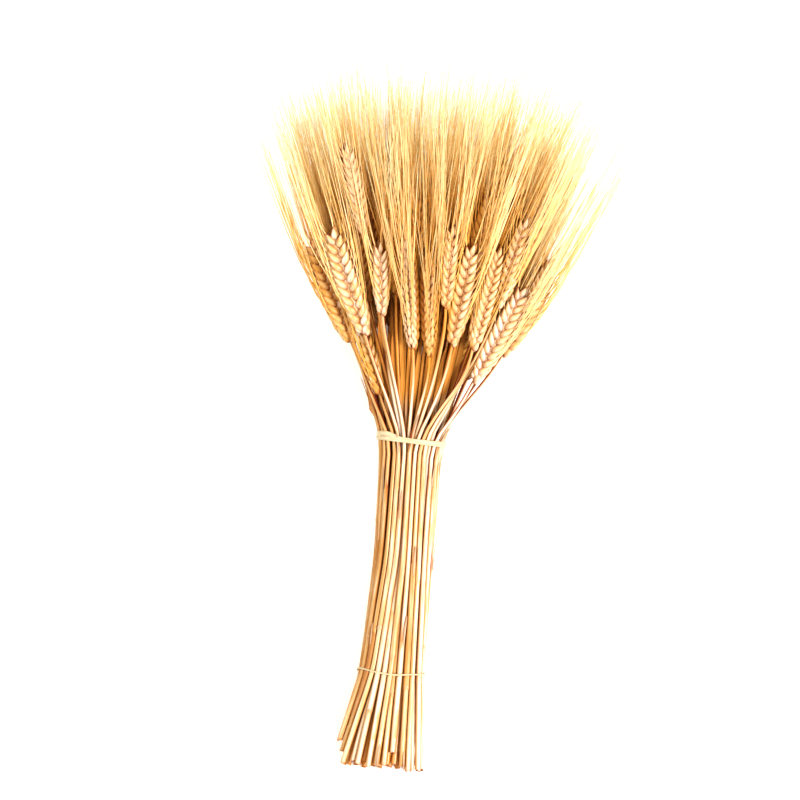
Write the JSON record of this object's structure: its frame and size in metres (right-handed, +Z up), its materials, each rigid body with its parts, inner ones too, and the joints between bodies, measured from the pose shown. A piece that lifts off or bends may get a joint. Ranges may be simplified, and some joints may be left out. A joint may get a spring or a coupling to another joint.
{
  "type": "tied bunch of dried wheat",
  "caption": "Tied bunch of dried bearded wheat lying on its side: long straws gathered by a flat tie at the neck and a thin tie near the cut ends, with a fan of ears and long awns.",
  "frame": {"origin": "centre of the small flat spot on the underside of the neck tie, on the surface that the bunch lies on", "axes": "+Y along the bunch from the cut ends to the ears, +Z up from the surface, +X across the bunch, to the right when it is looked at from above with the ears up"},
  "size_m": [0.294, 0.5253, 0.1186],
  "materials": {
    "straw": "satin",
    "tie": "satin"
  },
  "bodies": {
    "root": {"stalk_01": "straw", "stalk_02": "straw", "stalk_03": "straw", "stalk_04": "straw", "stalk_05": "straw", "stalk_06": "straw", "stalk_07": "straw", "stalk_08": "straw", "stalk_09": "straw", "stalk_10": "straw", "stalk_11": "straw", "stalk_12": "straw", "stalk_13": "straw", "stalk_14": "straw", "stalk_15": "straw", "stalk_16": "straw", "stalk_17": "straw", "stalk_18": "straw", "stalk_19": "straw", "stalk_20": "straw", "stalk_21": "straw", "stalk_22": "straw", "stalk_23": "straw", "stalk_24": "straw", "stalk_25": "straw", "stalk_26": "straw", "stalk_27": "straw", "stalk_28": "straw", "stalk_29": "straw", "stalk_30": "straw", "stalk_31": "straw", "stalk_32": "straw", "stalk_33": "straw", "stalk_34": "straw", "stalk_35": "straw", "stalk_36": "straw", "stalk_37": "straw", "stalk_38": "straw", "stalk_39": "straw", "stalk_40": "straw", "stalk_41": "straw", "stalk_42": "straw", "stalk_43": "straw", "stalk_44": "straw", "stalk_45": "straw", "stalk_46": "straw", "stalk_47": "straw", "stalk_48": "straw", "stalk_49": "straw", "stalk_50": "straw", "stalk_51": "straw", "stalk_52": "straw", "stalk_53": "straw", "stalk_54": "straw", "neck_tie": "tie", "tail_tie": "tie"}
  },
  "joints": []
}
